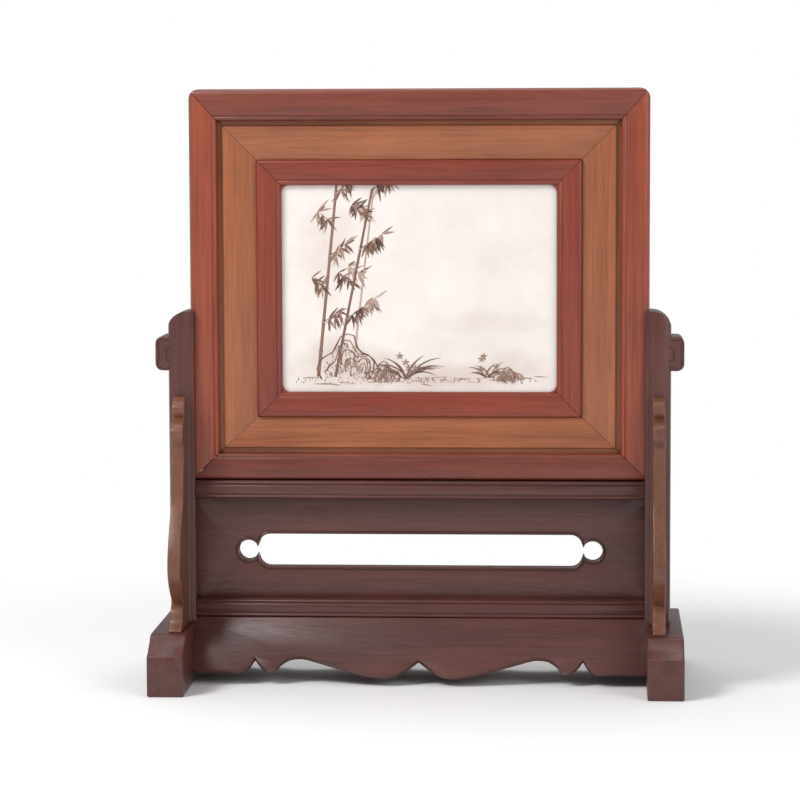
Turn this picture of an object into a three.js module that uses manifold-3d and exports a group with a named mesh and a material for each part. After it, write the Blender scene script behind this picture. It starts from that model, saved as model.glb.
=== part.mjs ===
// Table screen: a hardwood stand that holds a framed porcelain plaque, which lifts out of it.
// Millimetres, +Z up. The front faces -Y, and the origin lies under the middle of the stand.
import * as THREE from "three";
import { mergeVertices } from "three/addons/utils/BufferGeometryUtils.js";
import Module from "manifold-3d";

const wasm = await Module();
wasm.setup();

// Clearances between fitted pieces
const fit = 0.3;
const mitreGap = 0.22;
const past = 5;

// Feet
const footWidth = 36;
const footDepth = 236;
const footCentre = 244;
const toeHeight = 40;
const toeRun = 23;
const toeRise = 12.5;
const ledgeRun = 9;
const footHeight = 58;
const footEdge = 1.2;
const pinHoleDepth = 28;

// Posts, with a scrolled ear at the top of each
const postOuter = 250;
const postWidth = 25.5;
const postDepth = 52;
const postTop = 371.5;
const postCamber = 3;
const postTongue = 4.5;
const postTongueSetBack = 2.4;
const earRound = 19;
const scrollOut = 13;
const scrollWidth = 26;
const scrollHeight = 34;
const scrollBelowTop = 25;
const scrollRound = 7;
const scrollDepth = 48;
const tenonWidth = 13;
const tenonDepth = 36;

// Rails and waist panel of the stand
const railDepth = 44;
const railHeight = 17.7;
const lowerRailBottom = 64.5;
const waistHeight = 101.8;
const railTenon = 11;
const railTenonDepth = 16;
const railTenonHeight = 9;
const panelThick = 12;
const panelTongue = 5;
const slotHalf = 163;
const slotHeight = 34;
const slotRound = 12;
const eyeRadius = 10.7;
const eyeNeck = 9.8;

// Spandrels, one before and one behind each post
const spandrelThick = 12.6;
const spandrelHeight = 229;
const spandrelReach = 64;
const spandrelFromOutside = 12;
const spandrelTongue = 6;
const spandrelTongueThick = 6;
const spandrelPinLength = 22;
const spandrelPinDepth = 8;

// Splayed aprons under the lower rail
const apronLean = 33 * Math.PI / 180;
const apronThick = 9;
const apronHousing = 4;
const apronTopSetBack = 10;
const apronFloorGap = 10.9;

// Screen: outer frame, middle boards, inner frame, plaque and back
const screenWidth = 457.4;
const screenHeight = 389.7;
const screenThick = 34;
const screenCorner = 10;
const screenEdge = 5;
const stileWidth = 28;
const topRailWidth = 31.4;
const bottomRailWidth = 27;
const boardWidth = 39;
const boardTopWidth = 39;
const boardBottomWidth = 36.4;
const innerWidth = 25;
const boardSetBack = 5;
const innerSetBack = 2;
const channelWidth = 4.5;
const boardTongue = 5.7;
const lipThick = 5;
const lipCover = 4;
const sightRound = 7.5;
const plaqueThick = 6;
const backThick = 8;
const battenWidth = 24;
const battenThick = 10;
const battenTenon = 8;
const battenInset = 0.24;
const cornerTenonReach = 20;
const cornerTenonThick = 6;
const cornerTenonWidth = 11;

// Levels that follow from the sizes
const lowerRailTop = lowerRailBottom + railHeight;
const upperRailBottom = lowerRailTop + waistHeight;
const upperRailTop = upperRailBottom + railHeight;
const postInner = postOuter - postWidth;
const screenBottom = upperRailTop + fit;
const screenTop = screenBottom + screenHeight;
const screenFront = -screenThick / 2;
const boardFace = screenFront + boardSetBack;
const innerFace = screenFront + innerSetBack;
const rebateFloor = innerFace + lipThick;
const plaqueFront = rebateFloor + fit;
const plaqueBack = plaqueFront + plaqueThick;
const innerBack = plaqueBack + fit;
const backFront = innerBack + fit;
const backRear = backFront + backThick;
const tongueFront = innerBack - 4.8;
const footInner = footCentre - footWidth / 2;

// Solids from three.js shapes
function solid(geometry) {
  const bare = geometry.clone();
  bare.deleteAttribute("normal");
  bare.deleteAttribute("uv");
  const merged = mergeVertices(bare, 1e-3);
  const vertProperties = new Float32Array(merged.attributes.position.array);
  const triVerts = new Uint32Array(merged.index.array);
  return new wasm.Manifold(new wasm.Mesh({ numProp: 3, vertProperties, triVerts }));
}

function box(x0, x1, y0, y1, z0, z1) {
  const geometry = new THREE.BoxGeometry(x1 - x0, y1 - y0, z1 - z0);
  geometry.translate((x0 + x1) / 2, (y0 + y1) / 2, (z0 + z1) / 2);
  return solid(geometry);
}

function extruded(outline, start, end, axes, bevel = 0) {
  const shape = outline instanceof THREE.Shape ? outline : new THREE.Shape(outline);
  const options = { depth: end - start - 2 * bevel, bevelEnabled: bevel > 0, curveSegments: 5 };
  if (bevel > 0) {
    Object.assign(options, { bevelSize: bevel, bevelThickness: bevel, bevelOffset: -bevel, bevelSegments: 1 });
  }
  const geometry = new THREE.ExtrudeGeometry(shape, options);
  geometry.translate(0, 0, start + bevel);
  geometry.applyMatrix4(new THREE.Matrix4().makeBasis(...axes));
  return solid(geometry);
}

const alongX = [new THREE.Vector3(0, 1, 0), new THREE.Vector3(0, 0, 1), new THREE.Vector3(1, 0, 0)];
const alongY = [new THREE.Vector3(-1, 0, 0), new THREE.Vector3(0, 0, 1), new THREE.Vector3(0, 1, 0)];
const alongZ = [new THREE.Vector3(1, 0, 0), new THREE.Vector3(0, 1, 0), new THREE.Vector3(0, 0, 1)];
const points = (pairs) => pairs.map(([a, b]) => new THREE.Vector2(a, b));

// An outline in X and Z, pushed along Y. The extrusion's own first axis points along -X.
function frontOutline(pairs, y0, y1, bevel = 0) {
  return extruded(points(pairs.map(([x, z]) => [-x, z])), y0, y1, alongY, bevel);
}

function roundedRectangle(x0, x1, z0, z1, radii) {
  const corners = [[x0, z0, 180], [x1, z0, 270], [x1, z1, 0], [x0, z1, 90]];
  const outline = [];
  corners.forEach(([x, z, from], index) => {
    const radius = radii[index];
    const steps = radius > 0 ? 5 : 0;
    const cx = x === x0 ? x + radius : x - radius;
    const cz = z === z0 ? z + radius : z - radius;
    for (let step = 0; step <= steps; step += 1) {
      const angle = (from + (steps > 0 ? 90 * step / steps : 0)) * Math.PI / 180;
      outline.push([cx + radius * Math.cos(angle), cz + radius * Math.sin(angle)]);
    }
  });
  return outline;
}

const mirrorX = (body) => body.mirror([1, 0, 0]);
const mirrorY = (body) => body.mirror([0, 1, 0]);

// The object's pieces as named meshes
const screenSet = new THREE.Group();
const standSet = new THREE.Group();
const darkWood = { color: 0x4a1c16, roughness: 0.42, metalness: 0 };
const redWood = { color: 0x8a2e16, roughness: 0.4, metalness: 0 };
const boardWood = { color: 0x96431d, roughness: 0.45, metalness: 0 };
const honeyWood = { color: 0x6b3a1f, roughness: 0.4, metalness: 0 };
const backWood = { color: 0x5a2a18, roughness: 0.6, metalness: 0 };
const glaze = { color: 0xefe6e0, roughness: 0.12, metalness: 0 };

function addPiece(group, name, body, finish) {
  const mesh = body.getMesh();
  const geometry = new THREE.BufferGeometry();
  const count = mesh.vertProperties.length / mesh.numProp;
  const positions = new Float32Array(3 * count);
  for (let vertex = 0; vertex < count; vertex += 1) {
    for (let axis = 0; axis < 3; axis += 1) {
      positions[3 * vertex + axis] = mesh.vertProperties[mesh.numProp * vertex + axis];
    }
  }
  geometry.setAttribute("position", new THREE.BufferAttribute(positions, 3));
  geometry.setIndex(new THREE.BufferAttribute(new Uint32Array(mesh.triVerts), 1));
  geometry.computeVertexNormals();
  const piece = new THREE.Mesh(geometry, new THREE.MeshStandardMaterial(finish));
  piece.name = name;
  group.add(piece);
}

// Splayed apron. Its lower edge has a middle cusp, two long lobes, and a small lobe beside each outer cusp.
const apronHalfEdge = [
  [[0, 15.5], [9, 9.3], [21, 2.8], [36, 0], [58, 3.4], [85, 10], [110, 16.6], [119, 17.7], [129, 16.5], [137, 12]],
  [[142, 6.5], [147.5, 5.3], [154, 7], [159.5, 11.4], [163.5, 16.5]],
  [[168, 9.6], [173, 5.8], [180, 4.4]],
];

function apronLowerEdge() {
  const half = [];
  for (const stretch of apronHalfEdge) {
    const curve = new THREE.SplineCurve(points(stretch));
    half.push(...curve.getPoints(2 * (stretch.length - 1)).map((p) => [p.x, p.y]));
  }
  return half;
}

const apronUp = new THREE.Vector3(0, Math.sin(apronLean), Math.cos(apronLean));
const apronOut = new THREE.Vector3(0, -Math.cos(apronLean), Math.sin(apronLean));

function apronPlate(lowerEdge, halfLength, grow) {
  const along = (height) => (height - lowerRailBottom - apronThick * Math.sin(apronLean)) / Math.cos(apronLean);
  const right = lowerEdge.map(([x, height]) => [x, along(height) - grow]);
  const end = [[halfLength, right[right.length - 1][1]], [halfLength, 3 * apronThick]];
  const half = [...right, ...end];
  const left = half.map(([x, height]) => [-x, height]).reverse();
  const outline = [...half, ...left.filter(([x]) => x < 0)];
  const axes = [new THREE.Vector3(1, 0, 0), apronUp, apronOut];
  const plate = extruded(points(outline), -grow, apronThick + grow, axes);
  return plate.translate([0, -apronTopSetBack, lowerRailBottom]);
}

const apronEdge = apronLowerEdge().map(([x, height]) => [x, height + apronFloorGap]);
const apronEnd = apronEdge[apronEdge.length - 1][1];
const underRail = box(-postOuter, postOuter, -footDepth, footDepth, 0, lowerRailBottom - fit);
const apronHalf = footInner + apronHousing - fit;
const apron = apronPlate(apronEdge, apronHalf, 0).intersect(underRail);
const housingHalf = footInner + apronHousing;
const housingTop = box(-postOuter, postOuter, -footDepth, footDepth, 0, lowerRailBottom);
const apronRoom = apronPlate([[0, apronEnd]], housingHalf, fit).intersect(housingTop);
const bothAprons = apronRoom.add(mirrorY(apronRoom));

// Foot, with a stepped toe at each end
function footOutline() {
  const half = footDepth / 2;
  const front = [
    [-half, 0],
    [-half, toeHeight],
    [-half + 0.4 * toeRun, toeHeight + 0.3 * toeRise],
    [-half + toeRun, toeHeight + toeRise],
    [-half + toeRun + 0.35 * ledgeRun, footHeight - 1.6],
    [-half + toeRun + ledgeRun, footHeight],
  ];
  return points([...front, ...front.map(([y, z]) => [-y, z]).reverse()]);
}

const postMiddle = postOuter - 12.5;
const spandrelX = postOuter - spandrelFromOutside;
const postFront = postDepth / 2;

function makeFoot() {
  let foot = extruded(footOutline(), footInner, footInner + footWidth, alongX, footEdge);
  const room = fit + tenonWidth / 2;
  const deep = fit + tenonDepth / 2;
  foot = foot.subtract(box(postMiddle - room, postMiddle + room, -deep, deep,
    footHeight - pinHoleDepth, footHeight + past));
  const pinRoom = fit + spandrelTongueThick / 2;
  const pinStart = postFront + 16 - fit;
  const pinEnd = pinStart + spandrelPinLength + 2 * fit;
  const socket = box(spandrelX - pinRoom, spandrelX + pinRoom, -pinEnd, -pinStart,
    footHeight - spandrelPinDepth, footHeight + past);
  return foot.subtract(socket).subtract(mirrorY(socket)).subtract(bothAprons);
}

// Post: cambered face, a thin inner tongue at each side of the screen's groove, and a scrolled ear
function postPlan() {
  const camber = postCamber;
  const front = [
    [postOuter, -postFront + camber + 1.5],
    [postOuter - 1.2, -postFront + camber - 1.2],
    [postOuter - 4, -postFront + 0.8],
    [postOuter - 10.5, -postFront],
    [postInner + postTongue + 4, -postFront + 0.8],
    [postInner + postTongue + 0.6, -postFront + 1.6],
    [postInner + postTongue, -postFront + postTongueSetBack],
    [postInner, -postFront + postTongueSetBack],
  ];
  return points([...front, ...front.map(([x, y]) => [x, -y]).reverse()]);
}

function earOutline() {
  const outline = [[postInner - past, 0], [postInner - past, postTop], [postOuter - earRound, postTop]];
  const steps = 6;
  for (let step = 1; step <= steps; step += 1) {
    const angle = Math.PI / 2 * (1 - step / steps);
    outline.push([postOuter - earRound + (earRound + 1) * Math.cos(angle), postTop - earRound * (1 - Math.sin(angle))]);
  }
  outline.push([postOuter + 1, 0]);
  return outline;
}

function makePost() {
  const shaft = extruded(postPlan(), footHeight + fit, postTop, alongZ);
  const ear = frontOutline(earOutline(), -postDepth, postDepth);
  const scrollTop = postTop - scrollBelowTop;
  const scrollOuter = postOuter + scrollOut;
  const round = Array(4).fill(scrollRound);
  const square = roundedRectangle(scrollOuter - scrollWidth, scrollOuter,
    scrollTop - scrollHeight, scrollTop, round);
  const scroll = frontOutline(square, -scrollDepth / 2, scrollDepth / 2, 1);
  const tenon = box(postMiddle - tenonWidth / 2, postMiddle + tenonWidth / 2,
    -tenonDepth / 2, tenonDepth / 2, footHeight - pinHoleDepth + fit, footHeight + past);
  let post = shaft.intersect(ear).add(scroll).add(tenon);
  const half = screenThick / 2 + fit;
  const grooveEnd = screenWidth / 2 + fit;
  post = post.subtract(box(0, grooveEnd, -half, half, upperRailTop, postTop + past));
  const centres = [lowerRailBottom + railHeight / 2, upperRailBottom + railHeight / 2];
  for (const middle of centres) {
    const high = railTenonHeight / 2 + fit;
    const deep = railTenonDepth / 2 + fit;
    post = post.subtract(box(0, postInner + railTenon, -deep, deep, middle - high, middle + high));
  }
  const thick = panelThick / 2 + fit;
  post = post.subtract(box(0, postInner + panelTongue, -thick, thick, lowerRailTop, upperRailBottom));
  const tongueRoom = spandrelTongueThick / 2 + fit;
  const groove = box(spandrelX - tongueRoom, spandrelX + tongueRoom,
    -postFront - past, -postFront + spandrelTongue, footHeight, footHeight + 0.85 * spandrelHeight);
  return post.subtract(groove).subtract(mirrorY(groove)).subtract(bothAprons);
}

// Spandrel: a tall S curve with two small noses above and a foot below, as shares of its reach and height
const spandrelCurve = [
  [[0, 1], [0.16, 0.992], [0.27, 0.97], [0.31, 0.95], [0.28, 0.925], [0.23, 0.91]],
  [[0.36, 0.895], [0.49, 0.875], [0.53, 0.85], [0.5, 0.82], [0.42, 0.797], [0.375, 0.775]],
  [[0.4, 0.74], [0.45, 0.68], [0.48, 0.6], [0.53, 0.545], [0.66, 0.48], [0.84, 0.41], [0.96, 0.34], [1, 0.285],
    [0.96, 0.235], [0.83, 0.185], [0.66, 0.145], [0.53, 0.118]],
  [[0.6, 0.108], [0.7, 0.085], [0.73, 0.055], [0.78, 0.03], [0.9, 0.012], [0.92, 0]],
];

function makeSpandrel() {
  const outline = [];
  for (const stretch of spandrelCurve) {
    const curve = new THREE.SplineCurve(points(stretch));
    for (const p of curve.getPoints(Math.round(1.2 * stretch.length))) {
      outline.push([-postFront - fit - p.x * spandrelReach, footHeight + fit + p.y * spandrelHeight]);
    }
  }
  outline.push([-postFront - fit, footHeight + fit]);
  const half = spandrelThick / 2;
  const board = extruded(points(outline), spandrelX - half, spandrelX + half, alongX);
  const thin = spandrelTongueThick / 2;
  const tongue = box(spandrelX - thin, spandrelX + thin, -postFront - past, -postFront + spandrelTongue - fit,
    footHeight + 4, footHeight + 0.85 * spandrelHeight - fit);
  const pinStart = postFront + 16;
  const pin = box(spandrelX - thin, spandrelX + thin, -pinStart - spandrelPinLength, -pinStart,
    footHeight - spandrelPinDepth + fit, footHeight + past);
  return board.add(tongue).add(pin);
}

// Rail of the stand: a bead above and below a softly swelled body
function makeRail(bottom, panelSide) {
  const top = bottom + railHeight;
  const half = railDepth / 2;
  const front = [
    [-half + 1.6, top],
    [-half, top - 1.4],
    [-half, top - 2.6],
    [-half + 1.5, top - 3.8],
    [-half + 0.4, top - 5],
    [-half - 0.5, bottom + railHeight / 2],
    [-half + 0.4, bottom + 4.6],
    [-half + 1.5, bottom + 3.4],
    [-half + 0.4, bottom + 2.3],
    [-half + 0.4, bottom + 1.2],
    [-half + 1.8, bottom],
  ];
  const section = points([...front, ...front.map(([y, z]) => [-y, z]).reverse()]);
  let rail = extruded(section, -postInner + fit, postInner - fit, alongX);
  const high = railTenonHeight / 2;
  const reach = postInner + railTenon - fit;
  const middle = bottom + railHeight / 2;
  rail = rail.add(box(-reach, reach, -railTenonDepth / 2, railTenonDepth / 2, middle - high, middle + high));
  const thick = panelThick / 2 + fit;
  const grooveHalf = postInner - past + fit;
  const from = panelSide === "below" ? bottom - past : top - panelTongue;
  const to = panelSide === "below" ? bottom + panelTongue : top + past;
  return rail.subtract(box(-grooveHalf, grooveHalf, -thick, thick, from, to));
}

// Waist panel, pierced by a long slot with a round eye at each end
function makeWaistPanel() {
  const half = panelThick / 2;
  const inside = postInner - fit;
  const tongue = panelTongue - fit;
  const bottom = lowerRailTop + fit;
  const top = upperRailBottom - fit;
  let panel = box(-inside, inside, -half, half, bottom, top);
  panel = panel.add(box(-inside - tongue, inside + tongue, -half, half, bottom + past, top - past));
  panel = panel.add(box(-inside + past, inside - past, -half, half, bottom - tongue, top + tongue));
  const middle = lowerRailTop + waistHeight * 0.469;
  const radii = Array(4).fill(slotRound);
  const slot = roundedRectangle(-slotHalf, slotHalf, middle - slotHeight / 2, middle + slotHeight / 2, radii);
  panel = panel.subtract(frontOutline(slot, -half - past, half + past));
  const upright = new THREE.CylinderGeometry(eyeRadius, eyeRadius, panelThick + 2 * past, 24);
  upright.translate(slotHalf + eyeNeck, 0, 0);
  const hole = solid(upright).translate([0, 0, middle]);
  return panel.subtract(hole).subtract(mirrorX(hole));
}

// Mitred frames. A ring lies between two rectangles, given as half width, bottom and top.
const outerRing = { half: screenWidth / 2, bottom: screenBottom, top: screenTop };
const boardRing = {
  half: outerRing.half - stileWidth,
  bottom: screenBottom + bottomRailWidth,
  top: screenTop - topRailWidth,
};
const innerRing = {
  half: boardRing.half - boardWidth,
  bottom: boardRing.bottom + boardBottomWidth,
  top: boardRing.top - boardTopWidth,
};
const sight = {
  half: innerRing.half - innerWidth,
  bottom: innerRing.bottom + innerWidth,
  top: innerRing.top - innerWidth,
};

function between(outer, inner, share) {
  return {
    half: outer.half + share * (inner.half - outer.half),
    bottom: outer.bottom + share * (inner.bottom - outer.bottom),
    top: outer.top + share * (inner.top - outer.top),
  };
}

function mitrePrism(side, outer, inner) {
  const out = between(outer, inner, -0.4);
  const into = between(outer, inner, 1.4);
  const gap = mitreGap;
  const outlines = {
    left: [[-out.half, out.bottom + gap], [-into.half, into.bottom + gap],
      [-into.half, into.top - gap], [-out.half, out.top - gap]],
    right: [[out.half, out.bottom + gap], [into.half, into.bottom + gap],
      [into.half, into.top - gap], [out.half, out.top - gap]],
    top: [[-out.half + gap, out.top], [-into.half + gap, into.top],
      [into.half - gap, into.top], [out.half - gap, out.top]],
    bottom: [[-out.half + gap, out.bottom], [-into.half + gap, into.bottom],
      [into.half - gap, into.bottom], [out.half - gap, out.bottom]],
  };
  return frontOutline(outlines[side], -2 * screenThick, 2 * screenThick);
}

// A member's section is given as distance inward from the ring's outer edge, and depth
function mitredMember(side, outer, inner, section) {
  const width = {
    left: outer.half - inner.half,
    right: outer.half - inner.half,
    top: outer.top - inner.top,
    bottom: inner.bottom - outer.bottom,
  }[side];
  const pairs = section(width);
  let bar;
  if (side === "left" || side === "right") {
    const sign = side === "left" ? -1 : 1;
    const plan = points(pairs.map(([inward, y]) => [sign * (outer.half - inward), y]));
    bar = extruded(plan, outer.bottom - past, outer.top + past, alongZ);
  } else {
    const rise = side === "top" ? (inward) => outer.top - inward : (inward) => outer.bottom + inward;
    const plan = points(pairs.map(([inward, y]) => [y, rise(inward)]));
    bar = extruded(plan, -outer.half - past, outer.half + past, alongX);
  }
  return bar;
}

function outerSection(width) {
  const front = screenFront;
  const rear = -screenFront;
  const grooveFloor = width - boardTongue - fit;
  return [
    [0, front + screenEdge],
    [0.3 * screenEdge, front + 0.3 * screenEdge],
    [screenEdge, front],
    [width - 5.5, front],
    [width - 4.5, front + 1.2],
    [width - 3.2, front + 0.2],
    [width - 1.2, front + 0.6],
    [width, front + 2.6],
    [width, tongueFront - fit],
    [grooveFloor, tongueFront - fit],
    [grooveFloor, backRear + fit],
    [width, backRear + fit],
    [width, rear - 2],
    [width - 2, rear],
    [screenEdge, rear],
    [0.3 * screenEdge, rear - 0.3 * screenEdge],
    [0, rear - screenEdge],
  ];
}

function boardSection(width) {
  const end = width - fit;
  const innerTongue = end + lipCover;
  return [
    [-boardTongue, tongueFront],
    [channelWidth, tongueFront],
    [channelWidth + 0.8, boardFace + 0.8],
    [channelWidth + 1.8, boardFace],
    [end, boardFace + 1],
    [end, tongueFront + 0.6],
    [innerTongue, tongueFront + 0.6],
    [innerTongue, innerBack - 2],
    [end, innerBack - 2],
    [end, innerBack],
    [-boardTongue, innerBack],
  ];
}

function innerSection(width) {
  const rebate = width - lipCover - fit;
  const groove = lipCover + fit;
  return [
    [0, innerBack],
    [0, innerBack - 2 + fit],
    [groove, innerBack - 2 + fit],
    [groove, tongueFront + 0.6 - fit],
    [0, tongueFront + 0.6 - fit],
    [0, innerFace + 2.6],
    [1, innerFace + 0.8],
    [3, innerFace],
    [width - 6, innerFace],
    [width - 4.8, innerFace + 1.1],
    [width - 3.4, innerFace + 0.2],
    [width - 1.4, innerFace + 0.4],
    [width, innerFace + 2.4],
    [width, rebateFloor],
    [rebate, rebateFloor],
    [rebate, innerBack],
  ];
}

// Corner tenons run from the rails of the outer frame into mortises in its stiles
function cornerTenon(level, grow) {
  const start = outerRing.half - 6 + grow;
  const half = cornerTenonWidth / 2 + grow;
  const y0 = backRear + 2.2 - grow;
  return box(start - cornerTenonReach - 2 * grow, start, y0, y0 + cornerTenonThick + 2 * grow, level - half, level + half);
}

const tenonLevels = { top: screenTop - topRailWidth / 2, bottom: screenBottom + bottomRailWidth / 2 };
const battenLevels = [battenInset, 1 - battenInset].map(
  (share) => boardRing.bottom + share * (boardRing.top - boardRing.bottom));

function battenAt(level, grow) {
  const half = battenWidth / 2 + grow;
  const bar = box(-boardRing.half + fit - grow, boardRing.half - fit + grow,
    backRear + fit - grow, backRear + fit + battenThick + grow, level - half, level + half);
  const reach = boardRing.half + battenTenon - fit + grow;
  const high = battenWidth / 3 + grow;
  return bar.add(box(-reach, reach, backRear + fit + 2 - grow, backRear + fit + battenThick - 2 + grow,
    level - high, level + high));
}

function outerMember(side) {
  const outline = roundedRectangle(-outerRing.half, outerRing.half, screenBottom, screenTop,
    [0, 0, screenCorner, screenCorner]);
  const wood = mitredMember(side, outerRing, boardRing, outerSection);
  let member = wood.intersect(frontOutline(outline, -screenThick, screenThick));
  member = member.intersect(mitrePrism(side, outerRing, boardRing));
  if (side === "top" || side === "bottom") {
    const tenon = cornerTenon(tenonLevels[side], 0);
    return member.add(tenon).add(mirrorX(tenon));
  }
  for (const level of Object.values(tenonLevels)) {
    const mortise = cornerTenon(level, fit);
    member = member.subtract(side === "right" ? mortise : mirrorX(mortise));
  }
  for (const level of battenLevels) {
    member = member.subtract(battenAt(level, fit));
  }
  return member;
}

function innerMember(side) {
  const bar = mitredMember(side, innerRing, sight, innerSection);
  const lipOuter = lipCover;
  const corners = frontOutline([
    [-sight.half - lipOuter, sight.bottom - lipOuter], [sight.half + lipOuter, sight.bottom - lipOuter],
    [sight.half + lipOuter, sight.top + lipOuter], [-sight.half - lipOuter, sight.top + lipOuter],
  ], innerFace + 2.4, rebateFloor);
  const hole = roundedRectangle(-sight.half, sight.half, sight.bottom, sight.top, Array(4).fill(sightRound));
  const lip = corners.subtract(frontOutline(hole, -screenThick, screenThick));
  return bar.add(lip).intersect(mitrePrism(side, innerRing, sight));
}

// Stand
for (const [suffix, place] of [["left", mirrorX], ["right", (body) => body]]) {
  addPiece(standSet, `foot_${suffix}`, place(makeFoot()), darkWood);
  addPiece(standSet, `post_${suffix}`, place(makePost()), darkWood);
  addPiece(standSet, `spandrel_front_${suffix}`, place(makeSpandrel()), honeyWood);
  addPiece(standSet, `spandrel_back_${suffix}`, place(mirrorY(makeSpandrel())), honeyWood);
}
addPiece(standSet, "upper_rail", makeRail(upperRailBottom, "below"), darkWood);
addPiece(standSet, "lower_rail", makeRail(lowerRailBottom, "above"), darkWood);
addPiece(standSet, "waist_panel", makeWaistPanel(), darkWood);
addPiece(standSet, "apron_front", apron, darkWood);
addPiece(standSet, "apron_back", mirrorY(apron), darkWood);

// Screen
for (const side of ["top", "bottom", "left", "right"]) {
  const outerName = side === "top" || side === "bottom" ? `frame_${side}_rail` : `frame_${side}_stile`;
  addPiece(screenSet, outerName, outerMember(side), redWood);
  const board = mitredMember(side, boardRing, innerRing, boardSection);
  addPiece(screenSet, `middle_board_${side}`, board.intersect(mitrePrism(side, boardRing, innerRing)), boardWood);
  addPiece(screenSet, `inner_frame_${side}`, innerMember(side), redWood);
}
const plaqueEdge = lipCover;
addPiece(screenSet, "porcelain_plaque", box(-sight.half - plaqueEdge, sight.half + plaqueEdge,
  plaqueFront, plaqueBack, sight.bottom - plaqueEdge, sight.top + plaqueEdge), glaze);
addPiece(screenSet, "back_board", box(-boardRing.half - boardTongue, boardRing.half + boardTongue,
  backFront, backRear, boardRing.bottom - boardTongue, boardRing.top + boardTongue), backWood);
battenLevels.forEach((level, index) => {
  addPiece(screenSet, index === 0 ? "back_batten_lower" : "back_batten_upper", battenAt(level, 0), backWood);
});

const tableScreen = new THREE.Group();
tableScreen.add(standSet, screenSet);
export default tableScreen;
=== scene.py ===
# A hardwood table screen with a painted porcelain plaque, seen from the front right
import math
import random

import bmesh
import bpy
from mathutils import Matrix, Vector


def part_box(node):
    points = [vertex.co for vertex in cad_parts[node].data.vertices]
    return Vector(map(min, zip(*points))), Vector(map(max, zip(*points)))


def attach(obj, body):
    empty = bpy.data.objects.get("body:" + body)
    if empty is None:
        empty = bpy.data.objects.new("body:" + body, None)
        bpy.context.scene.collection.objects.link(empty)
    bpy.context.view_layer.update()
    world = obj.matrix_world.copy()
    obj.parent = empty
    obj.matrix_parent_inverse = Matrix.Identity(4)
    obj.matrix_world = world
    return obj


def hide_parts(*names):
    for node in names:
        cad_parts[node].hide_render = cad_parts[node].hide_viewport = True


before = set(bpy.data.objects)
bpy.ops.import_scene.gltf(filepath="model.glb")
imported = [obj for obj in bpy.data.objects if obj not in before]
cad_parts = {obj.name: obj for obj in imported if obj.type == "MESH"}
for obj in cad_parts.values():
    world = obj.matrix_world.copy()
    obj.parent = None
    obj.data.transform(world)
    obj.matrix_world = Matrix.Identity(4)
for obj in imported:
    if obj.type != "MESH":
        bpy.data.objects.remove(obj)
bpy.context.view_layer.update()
MM = 0.001
scene = bpy.context.scene
scene.view_settings.view_transform = "Standard"


# Camera of the photograph
CAMERA_PLACE = Vector((0.1706, -3.0817, 0.574))
CAMERA_TURN = math.radians(3.54)
CAMERA_TILT = math.radians(5.417)
CAMERA_ROLL = math.radians(0.216)
CAMERA_LENS = 139.3


def set_camera():
    data = bpy.data.cameras.new("photo_camera")
    data.lens = CAMERA_LENS
    data.sensor_width = 36
    data.clip_end = 60
    camera = bpy.data.objects.new("photo_camera", data)
    scene.collection.objects.link(camera)
    turn, tilt = CAMERA_TURN, CAMERA_TILT
    ahead = Vector((-math.sin(turn) * math.cos(tilt), math.cos(turn) * math.cos(tilt), -math.sin(tilt)))
    level = Vector((math.cos(turn), math.sin(turn), 0))
    rise = level.cross(ahead)
    right = math.cos(CAMERA_ROLL) * level - math.sin(CAMERA_ROLL) * rise
    up = math.sin(CAMERA_ROLL) * level + math.cos(CAMERA_ROLL) * rise
    turned = Matrix((right, up, -ahead)).transposed()
    camera.matrix_world = Matrix.Translation(CAMERA_PLACE) @ turned.to_4x4()
    scene.camera = camera


# Small helpers for shader nodes
def add(tree, kind, values=(), **settings):
    made = tree.nodes.new("ShaderNode" + kind)
    for name, value in settings.items():
        setattr(made, name, value)
    for key, value in dict(values).items():
        if isinstance(value, bpy.types.NodeSocket):
            tree.links.new(value, made.inputs[key])
        else:
            made.inputs[key].default_value = value
    return made


def ramp(tree, factor, stops):
    made = add(tree, "ValToRGB", {0: factor})
    elements = made.color_ramp.elements
    while len(elements) < len(stops):
        elements.new(0.5)
    for element, (place, colour) in zip(elements, stops):
        element.position = place
        element.color = colour if len(colour) == 4 else (*colour, 1)
    return made.outputs[0]


def mixed(tree, factor, first, second, kind="MIX"):
    made = add(tree, "Mix", {0: factor, 6: first, 7: second}, data_type="RGBA", blend_type=kind)
    return made.outputs[2]


def math_node(tree, operation, first, second=0.5):
    return add(tree, "Math", {0: first, 1: second}, operation=operation).outputs[0]


def new_material(name):
    material = bpy.data.materials.new(name)
    material.use_nodes = True
    tree = material.node_tree
    shader = tree.nodes["Principled BSDF"]
    return material, tree, shader


# Grain of the rosewood: broad figure, fine lines and short open pores along one axis
def make_grain_group():
    group = bpy.data.node_groups.new("rosewood_grain", "ShaderNodeTree")
    group.interface.new_socket("Vector", in_out="INPUT", socket_type="NodeSocketVector")
    for name in ("Figure", "Lines", "Pores"):
        group.interface.new_socket(name, in_out="OUTPUT", socket_type="NodeSocketFloat")
    start = group.nodes.new("NodeGroupInput")
    end = group.nodes.new("NodeGroupOutput")
    vector = start.outputs[0]
    figure = add(group, "TexNoise", {"Vector": vector, "Scale": 1.6, "Detail": 4.0, "Distortion": 0.6})
    lines = add(group, "TexNoise", {"Vector": vector, "Scale": 13.0, "Detail": 6.0, "Roughness": 0.62,
                                    "Distortion": 0.25})
    pores = add(group, "TexNoise", {"Vector": vector, "Scale": 52.0, "Detail": 1.5})
    holes = add(group, "MapRange", {0: pores.outputs[0], 1: 0.6, 2: 0.7, 3: 0.0, 4: 1.0})
    group.links.new(figure.outputs[0], end.inputs[0])
    group.links.new(lines.outputs[0], end.inputs[1])
    group.links.new(holes.outputs[0], end.inputs[2])
    return group


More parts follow.
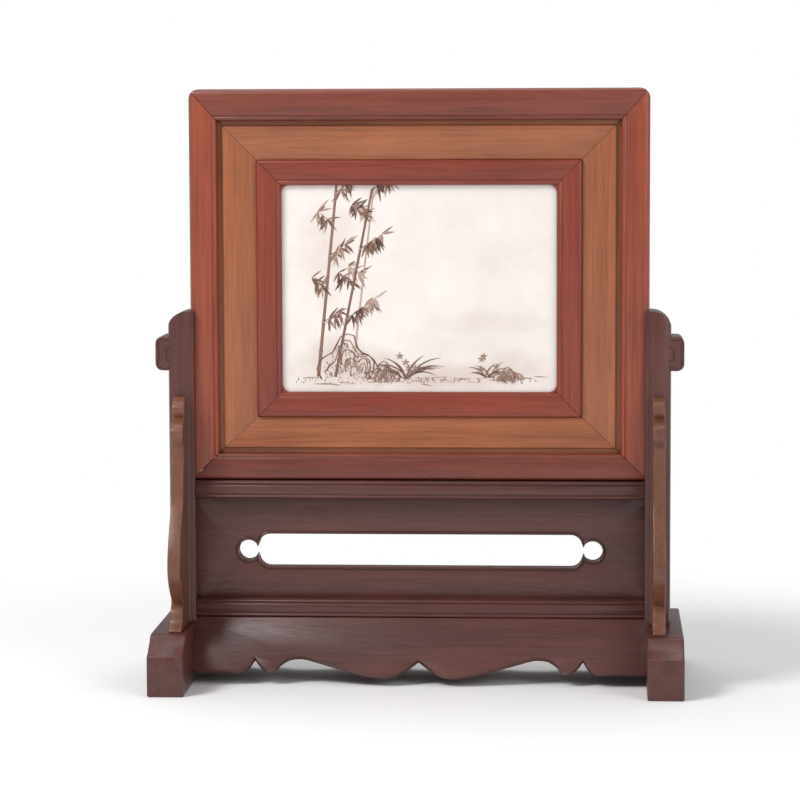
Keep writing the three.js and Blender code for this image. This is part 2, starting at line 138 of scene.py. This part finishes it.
GRAIN = make_grain_group()
ACROSS = 34.0
STRETCH = {"x": (1.0, ACROSS, ACROSS), "y": (ACROSS, 1.0, ACROSS), "z": (ACROSS, ACROSS, 1.0)}


def wood(name, dark, light, along, sheen=0.34):
    material, tree, shader = new_material(f"{name}_{along}")
    place = add(tree, "TexCoord").outputs["Object"]
    vector = add(tree, "Mapping", {"Vector": place, "Scale": STRETCH[along]}).outputs[0]
    grain = add(tree, "Group", node_tree=GRAIN)
    tree.links.new(vector, grain.inputs[0])
    figure, lines, pores = grain.outputs
    tone = math_node(tree, "ADD", math_node(tree, "MULTIPLY", figure, 0.55),
                     math_node(tree, "MULTIPLY", lines, 0.45))
    middle = tuple((a + b) / 2 for a, b in zip(dark, light))
    colour = ramp(tree, tone, [(0.36, dark), (0.5, middle), (0.64, light)])
    deep = tuple(0.35 * value for value in dark)
    colour = mixed(tree, math_node(tree, "MULTIPLY", pores, 0.62), colour, (*deep, 1))
    worn = add(tree, "Attribute", attribute_name="edge").outputs["Fac"]
    bright = tuple(min(1.0, 1.35 * value + 0.012) for value in light)
    rubbed = math_node(tree, "MULTIPLY", worn, math_node(tree, "MULTIPLY", lines, 0.62))
    colour = mixed(tree, rubbed, colour, (*bright, 1))
    grime = add(tree, "TexNoise", {"Vector": place, "Scale": 9.0, "Detail": 5.0}).outputs[0]
    cloud = ramp(tree, grime, [(0.3, (0.72, 0.68, 0.66)), (0.62, (1.08, 1.04, 1.0))])
    colour = mixed(tree, 0.55, colour, cloud, "MULTIPLY")
    tree.links.new(colour, shader.inputs["Base Color"])
    rough = add(tree, "MapRange", {0: grime, 1: 0.3, 2: 0.7, 3: sheen - 0.05, 4: sheen + 0.1}).outputs[0]
    rough = math_node(tree, "ADD", rough, math_node(tree, "MULTIPLY", pores, 0.2))
    tree.links.new(rough, shader.inputs["Roughness"])
    height = math_node(tree, "SUBTRACT", math_node(tree, "MULTIPLY", lines, 0.35), pores)
    bump = add(tree, "Bump", {"Height": height, "Strength": 0.28, "Distance": 0.0002})
    tree.links.new(bump.outputs[0], shader.inputs["Normal"])
    shader.inputs["Coat Weight"].default_value = 0.18
    shader.inputs["Coat Roughness"].default_value = 0.22
    return material


TONES = {
    "stile": ((0.115, 0.018, 0.008), (0.29, 0.055, 0.02)),
    "rail": ((0.085, 0.014, 0.009), (0.2, 0.04, 0.02)),
    "board": ((0.17, 0.045, 0.016), (0.35, 0.11, 0.04)),
    "inner": ((0.1, 0.012, 0.006), (0.24, 0.035, 0.014)),
    "stand": ((0.035, 0.009, 0.008), (0.1, 0.026, 0.02)),
    "spandrel": ((0.07, 0.022, 0.012), (0.17, 0.06, 0.03)),
    "back": ((0.05, 0.017, 0.01), (0.12, 0.045, 0.025)),
}
WOODS = {}


def wood_for(tone, along):
    key = (tone, along)
    if key not in WOODS:
        WOODS[key] = wood(f"{tone}_rosewood", *TONES[tone], along)
    return WOODS[key]


# Finished wooden members: the construction's own shape with its arrises rounded and rubbed
def finish_mesh(name, bm, material, body, sharp=32):
    mesh = bpy.data.meshes.new(name)
    for face in bm.faces:
        face.smooth = True
    bm.to_mesh(mesh)
    bm.free()
    mesh.set_sharp_from_angle(angle=math.radians(sharp))
    piece = bpy.data.objects.new(name, mesh)
    scene.collection.objects.link(piece)
    piece.data.materials.append(material)
    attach(piece, body)
    return piece


def rounded_member(node, tone, along, body, width=0.7 * MM, segments=2, least=28):
    bm = bmesh.new()
    bm.from_mesh(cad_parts[node].data)
    bmesh.ops.remove_doubles(bm, verts=bm.verts, dist=0.00001)
    bmesh.ops.dissolve_limit(bm, angle_limit=math.radians(0.6), verts=bm.verts, edges=bm.edges)
    arrises = [e for e in bm.edges if e.is_manifold and e.calc_face_angle(0) > math.radians(least)]
    rounded = bmesh.ops.bevel(bm, geom=arrises, offset=width, offset_type="OFFSET", affect="EDGES",
                              segments=segments, profile=0.5, material=-1, clamp_overlap=True)
    worn = bm.loops.layers.float_color.new("edge")
    for face in rounded["faces"]:
        for loop in face.loops:
            loop[worn] = (1, 1, 1, 1)
    bmesh.ops.triangulate(bm, faces=[f for f in bm.faces if len(f.verts) > 4])
    piece = finish_mesh(f"{node}_finished", bm, wood_for(tone, along), body)
    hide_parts(node)
    return piece


SPANDREL_NOSE = 3.6 * MM


def dress_stand():
    for side in ("left", "right"):
        rounded_member(f"foot_{side}", "stand", "y", "stand", 1.4 * MM, 3)
        rounded_member(f"post_{side}", "stand", "z", "stand", 0.9 * MM, 3)
        for end in ("front", "back"):
            node = f"spandrel_{end}_{side}"
            rounded_member(node, "spandrel", "z", "stand", SPANDREL_NOSE, 5, 60)
    for node in ("upper_rail", "lower_rail"):
        rounded_member(node, "stand", "x", "stand", 0.5 * MM, 2, 20)
    rounded_member("waist_panel", "stand", "x", "stand", 0.8 * MM, 3, 40)
    for node in ("apron_front", "apron_back"):
        rounded_member(node, "stand", "x", "stand", 1.0 * MM, 3, 40)


def dress_screen():
    for side, along in (("top", "x"), ("bottom", "x"), ("left", "z"), ("right", "z")):
        outer = f"frame_{side}_" + ("rail" if along == "x" else "stile")
        rounded_member(outer, "rail" if along == "x" else "stile", along, "screen", 0.6 * MM)
        rounded_member(f"middle_board_{side}", "board", along, "screen", 0.35 * MM)
        rounded_member(f"inner_frame_{side}", "inner", along, "screen", 0.4 * MM)
    rounded_member("back_board", "back", "x", "screen", 0.6 * MM)
    for node in ("back_batten_lower", "back_batten_upper"):
        rounded_member(node, "back", "x", "screen", 1.0 * MM)


# Round beads that follow a line over a face, such as the rim of the slot and the ears' scrolls
def bead(name, lines, radius, tone, body, closed):
    curve = bpy.data.curves.new(name, "CURVE")
    curve.dimensions = "3D"
    curve.bevel_depth = radius
    curve.bevel_resolution = 3
    curve.use_fill_caps = True
    for line in lines:
        spline = curve.splines.new("POLY")
        spline.points.add(len(line) - 1)
        for point, place in zip(spline.points, line):
            point.co = (*place, 1)
        spline.use_cyclic_u = closed
    holder = bpy.data.objects.new(name + "_line", curve)
    scene.collection.objects.link(holder)
    bpy.context.view_layer.update()
    bm = bmesh.new()
    bm.from_mesh(holder.to_mesh())
    holder.to_mesh_clear()
    bpy.data.objects.remove(holder)
    bmesh.ops.remove_doubles(bm, verts=bm.verts, dist=0.000001)
    bmesh.ops.recalc_face_normals(bm, faces=bm.faces)
    return finish_mesh(name, bm, wood_for(tone, "x"), body, sharp=70)


def arc(cx, cz, radius, first, last, steps):
    turn = [first + (last - first) * step / steps for step in range(steps + 1)]
    return [(cx + radius * math.cos(math.radians(a)), cz + radius * math.sin(math.radians(a))) for a in turn]


SLOT_HALF = 163 * MM
SLOT_HIGH = 17 * MM
SLOT_ROUND = 12 * MM
EYE = 10.7 * MM
EYE_AT = 172.8 * MM
RIM = 1.5 * MM
SLOT_LEVEL = 0.469
RIM_OFFSET = 0.6 * RIM


def slot_rims():
    low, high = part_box("waist_panel")
    lower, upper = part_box("lower_rail")[1].z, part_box("upper_rail")[0].z
    middle = lower + SLOT_LEVEL * (upper - lower)
    grow = RIM_OFFSET
    eye = EYE + grow
    open_angle = math.degrees(math.acos((EYE_AT - SLOT_HALF - grow) / eye))
    half = [*arc(SLOT_HALF - SLOT_ROUND, middle + SLOT_HIGH - SLOT_ROUND, SLOT_ROUND + grow, 90, 0, 8)]
    half += arc(EYE_AT, middle, eye, 180 - open_angle, -180 + open_angle, 30)
    half += arc(SLOT_HALF - SLOT_ROUND, middle - SLOT_HIGH + SLOT_ROUND, SLOT_ROUND + grow, 0, -90, 8)
    outline = half + [(-x, z) for x, z in reversed(half)]
    for name, y in (("slot_rim_front", low.y), ("slot_rim_back", high.y)):
        bead(name, [[(x, y, z) for x, z in outline]], RIM, "stand", "stand", True)


# Scroll line of an ear, in millimetres inward and down from the scroll's outer top corner
SCROLL_SPIRAL = [(12.5, 3), (10, 3), (3, 3), (3, 17), (3, 31), (13, 31), (23, 31), (23, 22), (23, 12),
                 (16, 10.5), (11, 11), (10.5, 18), (11, 23), (15.5, 24), (17, 20.5)]


def smooth_line(points, steps=5):
    made = []
    ends = [points[0], *points, points[-1]]
    for a, b, c, d in zip(ends, ends[1:], ends[2:], ends[3:]):
        for step in range(steps):
            t = step / steps
            made.append(tuple(
                0.5 * (2 * q + (r - p) * t + (2 * p - 5 * q + 4 * r - s) * t * t
                       + (3 * q - p - 3 * r + s) * t ** 3)
                for p, q, r, s in zip(a, b, c, d)))
    return [*made, points[-1]]


SCROLL_TOP = 346.5
SCROLL_OUT = 263
SCROLL_FACE = 24
SCROLL_BEAD = 0.9 * MM


def ear_scrolls():
    for side, sign in (("left", -1), ("right", 1)):
        lines = []
        for y in (-SCROLL_FACE, SCROLL_FACE):
            spiral = smooth_line(SCROLL_SPIRAL)
            lines.append([(sign * (SCROLL_OUT - a) * MM, y * MM, (SCROLL_TOP - b) * MM) for a, b in spiral])
        bead(f"ear_scroll_{side}", lines, SCROLL_BEAD, "stand", "stand", False)


# Porcelain plaque: glazed, with soft washes in the glaze and sepia brushwork of bamboo, rock and orchid
# Washes as centre X and Z, half width, half height and strength
WASHES = [
    (-0.075, 0.318, 0.055, 0.03, 0.55),
    (0.03, 0.306, 0.11, 0.014, 0.4),
    (-0.095, 0.43, 0.03, 0.06, 0.22),
    (0.07, 0.36, 0.06, 0.012, 0.2),
    (0.095, 0.318, 0.03, 0.016, 0.3),
]


def porcelain():
    material, tree, shader = new_material("glazed_porcelain")
    place = add(tree, "TexCoord").outputs["Object"]
    split = add(tree, "SeparateXYZ", {0: place})
    soft = {"Vector": place, "Scale": 22.0, "Detail": 6.0, "Roughness": 0.6}
    drift = add(tree, "TexNoise", soft).outputs[0]
    paper = ramp(tree, drift, [(0.3, (0.82, 0.745, 0.70)), (0.7, (0.9, 0.84, 0.80))])
    colour = paper
    for x, z, wide, high, strength in WASHES:
        across = math_node(tree, "DIVIDE", math_node(tree, "SUBTRACT", split.outputs[0], x), wide)
        rise = math_node(tree, "DIVIDE", math_node(tree, "SUBTRACT", split.outputs[2], z), high)
        far = math_node(tree, "ADD", math_node(tree, "POWER", math_node(tree, "ABSOLUTE", across), 2.0),
                        math_node(tree, "POWER", math_node(tree, "ABSOLUTE", rise), 2.0))
        far = math_node(tree, "ADD", far, math_node(tree, "MULTIPLY", drift, 1.4))
        mask = add(tree, "MapRange", {0: far, 1: 1.9, 2: 0.5, 3: 0.0, 4: strength}).outputs[0]
        colour = mixed(tree, mask, colour, (0.5, 0.33, 0.26, 1))
    front = add(tree, "MapRange", {0: split.outputs[1], 1: -0.0085, 2: -0.009, 3: 0.0, 4: 1.0}).outputs[0]
    colour = mixed(tree, front, paper, colour)
    tree.links.new(colour, shader.inputs["Base Color"])
    ripple = add(tree, "TexNoise", {"Vector": place, "Scale": 60.0, "Detail": 2.0}).outputs[0]
    rough = add(tree, "MapRange", {0: drift, 1: 0.3, 2: 0.7, 3: 0.1, 4: 0.17}).outputs[0]
    tree.links.new(rough, shader.inputs["Roughness"])
    bump = add(tree, "Bump", {"Height": ripple, "Strength": 0.08, "Distance": 0.0002})
    tree.links.new(bump.outputs[0], shader.inputs["Normal"])
    shader.inputs["Coat Weight"].default_value = 0.4
    shader.inputs["Coat Roughness"].default_value = 0.06
    return material


def sepia():
    material, tree, shader = new_material("sepia_overglaze")
    ink = add(tree, "Attribute", attribute_name="ink").outputs["Fac"]
    place = add(tree, "TexCoord").outputs["Object"]
    dry = add(tree, "TexNoise", {"Vector": place, "Scale": 420.0, "Detail": 3.0}).outputs[0]
    broken = math_node(tree, "MULTIPLY", math_node(tree, "SUBTRACT", dry, 0.5), 0.5)
    tone = math_node(tree, "ADD", ink, broken)
    pale, middle, dark = (0.74, 0.6, 0.52), (0.3, 0.16, 0.11), (0.035, 0.014, 0.01)
    colour = ramp(tree, tone, [(0.0, pale), (0.45, middle), (1.0, dark)])
    tree.links.new(colour, shader.inputs["Base Color"])
    rough = add(tree, "MapRange", {0: dry, 1: 0.3, 2: 0.7, 3: 0.2, 4: 0.38}).outputs[0]
    tree.links.new(rough, shader.inputs["Roughness"])
    return material


class Brush:
    """Lays tapered strokes on the plaque's face. Places and widths are in millimetres on the face."""

    def __init__(self, face_y, lift=0.12 * MM):
        self.bm = bmesh.new()
        self.ink = self.bm.loops.layers.float_color.new("ink")
        self.y = face_y - lift
        self.count = 0

    def stroke(self, line, widths, tone):
        y = self.y - 0.0000004 * self.count
        self.count += 1
        rows = []
        for index, (x, z) in enumerate(line):
            before = line[max(index - 1, 0)]
            after = line[min(index + 1, len(line) - 1)]
            run = Vector((after[0] - before[0], after[1] - before[1])).normalized()
            half = widths[index] / 2
            rows.append([self.bm.verts.new(((x - s * run.y * half) * MM, y, (z + s * run.x * half) * MM))
                         for s in (1, -1)])
        for (a, b), (c, d) in zip(rows, rows[1:]):
            face = self.bm.faces.new((a, b, d, c))
            for loop in face.loops:
                loop[self.ink] = (tone, tone, tone, 1)


def leaf(brush, x, z, angle, length, width, tone, droop=0.25):
    line = []
    widths = []
    steps = 7
    for step in range(steps + 1):
        t = step / steps
        line.append((x, z))
        widths.append(max(0.08, width * math.sin(math.pi * t ** 0.75)))
        heading = angle - droop * t
        x += math.cos(heading) * length / steps
        z += math.sin(heading) * length / steps
    brush.stroke(line, widths, tone)


def bamboo(brush, rng, x, z, lean, joints, pitch, width, tone):
    for joint in range(joints):
        length = pitch * (0.75 + 0.5 * math.sin(math.pi * (joint + 1) / (joints + 1)))
        top = (x + lean * length, z + length)
        line = [(x + (top[0] - x) * t, z + (top[1] - z) * t) for t in (0.02, 0.08, 0.5, 0.92, 0.98)]
        brush.stroke(line, [width * 1.15, width, 0.88 * width, width, 1.2 * width], tone)
        brush.stroke([(top[0] - 0.75 * width, top[1] + 0.2), top, (top[0] + 0.75 * width, top[1] + 0.25)],
                     [0.25, 0.5, 0.25], min(1, tone + 0.3))
        x, z = top
        if joint > 0:
            side = 1 if joint % 2 else -1
            twig = [(x + side * t * 15, z + 9 * t + 2 * t * t) for t in (0, 0.35, 0.7, 1)]
            brush.stroke(twig, [0.9, 0.7, 0.55, 0.4], tone)
            for end in twig[1:]:
                for _ in range(6):
                    hanging = rng.random() < 0.75
                    angle = math.radians(rng.uniform(-125, -15) if hanging else rng.uniform(10, 60))
                    leaf(brush, *end, angle, rng.uniform(9, 17), rng.uniform(1.5, 2.5),
                         min(1, max(0.2, tone + rng.uniform(-0.25, 0.35))), rng.uniform(-0.2, 0.4))
        width *= 0.95


def rock(brush, rng, x, z, wide, high, tone):
    for layer in range(5):
        scale = 1 - 0.16 * layer
        outline = []
        for step in range(15):
            angle = math.pi * step / 14
            wobble = 1 + 0.16 * math.sin(5 * angle + layer) + rng.uniform(-0.05, 0.05)
            outline.append((x + 5 * layer * 0.6 - wide * scale * wobble * math.cos(angle),
                            z + high * scale * wobble * math.sin(angle)))
        first = rng.randrange(0, 4) if layer else 0
        last = 15 - (rng.randrange(0, 4) if layer else 0)
        part = outline[first:last]
        brush.stroke(part, [rng.uniform(0.5, 1.7) for _ in part], tone - 0.06 * layer)
    for _ in range(150):
        angle = rng.uniform(0.1, math.pi - 0.1)
        reach = rng.uniform(0.3, 0.95)
        px = x - wide * reach * math.cos(angle)
        pz = z + high * reach * math.sin(angle)
        slope = angle - math.pi / 2 + rng.uniform(-0.5, 0.5)
        leaf(brush, px, pz, -1.2 - 0.4 * slope, rng.uniform(2, 6), rng.uniform(0.3, 0.9),
             rng.uniform(0.25, 0.7), 0.4)


def orchid(brush, rng, x, z, count, reach):
    for blade in range(count):
        side = -1 if blade % 3 == 0 else 1
        angle = math.radians(90 - side * rng.uniform(12, 52))
        leaf(brush, x + rng.uniform(-3, 3), z, angle, reach * rng.uniform(0.6, 1.0), rng.uniform(1.0, 1.7),
             rng.uniform(0.5, 0.95), side * rng.uniform(0.7, 1.5))
    for _ in range(4):
        px = x + rng.uniform(-8, 18)
        pz = z + rng.uniform(9, 24)
        for petal in range(5):
            leaf(brush, px, pz, math.radians(20 + 72 * petal + rng.uniform(-12, 12)), 4.2, 1.4, 0.4, 0.3)


PLAQUE_ARRIS = 1.1 * MM
INK_THICKNESS = 0.04 * MM


def paint_plaque():
    face_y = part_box("porcelain_plaque")[0].y
    bm = bmesh.new()
    bm.from_mesh(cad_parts["porcelain_plaque"].data)
    bmesh.ops.remove_doubles(bm, verts=bm.verts, dist=0.00001)
    bmesh.ops.dissolve_limit(bm, angle_limit=math.radians(0.6), verts=bm.verts, edges=bm.edges)
    bmesh.ops.bevel(bm, geom=list(bm.edges), offset=PLAQUE_ARRIS, offset_type="OFFSET", affect="EDGES",
                    segments=4, profile=0.5, material=-1)
    plaque = finish_mesh("plaque_glazed", bm, porcelain(), "screen")
    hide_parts("porcelain_plaque")
    rng = random.Random(5)
    brush = Brush(face_y)
    for step in range(26):
        x = -118 + 9.2 * step + rng.uniform(-3, 3)
        leaf(brush, x, 303 + rng.uniform(-5, 3), rng.uniform(-0.12, 0.12), rng.uniform(9, 20), 0.9,
             rng.uniform(0.12, 0.45), 0.1)
    bamboo(brush, rng, -66, 318, 0.12, 6, 26, 2.0, 0.22)
    bamboo(brush, rng, -101, 305, 0.1, 7, 27, 3.4, 0.5)
    bamboo(brush, rng, -84, 305, 0.2, 6, 28, 2.8, 0.62)
    rock(brush, rng, -72, 303, 27, 40, 0.75)
    rock(brush, rng, -36, 301, 15, 17, 0.65)
    orchid(brush, rng, -14, 303, 15, 44)
    orchid(brush, rng, 68, 304, 9, 24)
    rock(brush, rng, 88, 302, 13, 11, 0.5)
    for _ in range(110):
        x = rng.uniform(-125, 118)
        leaf(brush, x, 300 + rng.uniform(-2, 4), math.radians(rng.uniform(70, 110)), rng.uniform(1.2, 4), 0.5,
             rng.uniform(0.35, 0.9), 0.3)
    strokes = finish_mesh("plaque_brushwork", brush.bm, sepia(), "screen")
    thick = strokes.modifiers.new("ink_thickness", "SOLIDIFY")
    thick.thickness = INK_THICKNESS
    thick.offset = 0


# Floor, backdrop and light
SHADOW_REACH = 0.42
WHITE_FROM = 0.8
SKY_LEVEL = 0.42


def set_stage():
    bm = bmesh.new()
    bmesh.ops.create_grid(bm, x_segments=8, y_segments=8, size=14)
    mesh = bpy.data.meshes.new("studio_floor")
    bm.to_mesh(mesh)
    bm.free()
    floor = bpy.data.objects.new("studio_floor", mesh)
    scene.collection.objects.link(floor)
    material, tree, shader = new_material("white_sweep")
    floor.data.materials.append(material)
    shader.inputs["Base Color"].default_value = (0.93, 0.93, 0.93, 1)
    shader.inputs["Roughness"].default_value = 0.7
    shader.inputs["Specular IOR Level"].default_value = 0.1
    place = add(tree, "TexCoord").outputs["Object"]
    far = add(tree, "VectorMath", {0: place}, operation="LENGTH").outputs["Value"]
    reach = {0: far, 1: SHADOW_REACH, 2: WHITE_FROM, 3: 0.0, 4: 1.0}
    fade = add(tree, "MapRange", reach, interpolation_type="SMOOTHSTEP").outputs[0]
    rays = add(tree, "LightPath")
    seen = math_node(tree, "MAXIMUM", rays.outputs["Is Camera Ray"], rays.outputs["Is Glossy Ray"])
    white = add(tree, "Emission", {"Color": (1, 1, 1, 1), "Strength": 1.0})
    blend = add(tree, "MixShader", {0: math_node(tree, "MULTIPLY", fade, seen), 1: shader.outputs[0],
                                    2: white.outputs[0]})
    tree.links.new(blend.outputs[0], tree.nodes["Material Output"].inputs[0])
    world = bpy.data.worlds.new("studio")
    world.use_nodes = True
    scene.world = world
    sky = world.node_tree
    rays = add(sky, "LightPath")
    seen = math_node(sky, "MAXIMUM", rays.outputs["Is Camera Ray"], rays.outputs["Is Transmission Ray"])
    level = add(sky, "MapRange", {0: seen, 1: 0.0, 2: 1.0, 3: SKY_LEVEL, 4: 1.0}).outputs[0]
    sky.links.new(level, sky.nodes["Background"].inputs["Strength"])
    sky.nodes["Background"].inputs["Color"].default_value = (1, 1, 1, 1)


def lamp(name, place, aim, size, watts):
    data = bpy.data.lights.new(name, "AREA")
    data.shape = "SQUARE"
    data.size = size
    data.energy = watts
    light = bpy.data.objects.new(name, data)
    scene.collection.objects.link(light)
    light.location = place
    light.rotation_euler = (Vector(aim) - Vector(place)).to_track_quat("-Z", "Y").to_euler()


set_camera()
set_stage()
lamp("key_light", (-1.5, -1.3, 2.1), (0, 0, 0.25), 0.9, 46)
lamp("fill_light", (1.9, -1.9, 1.3), (0, 0, 0.3), 1.6, 20)
lamp("top_light", (0.0, 0.5, 2.4), (0, 0, 0.3), 1.4, 16)
dress_stand()
dress_screen()
slot_rims()
ear_scrolls()
paint_plaque()

bpy.context.view_layer.update()
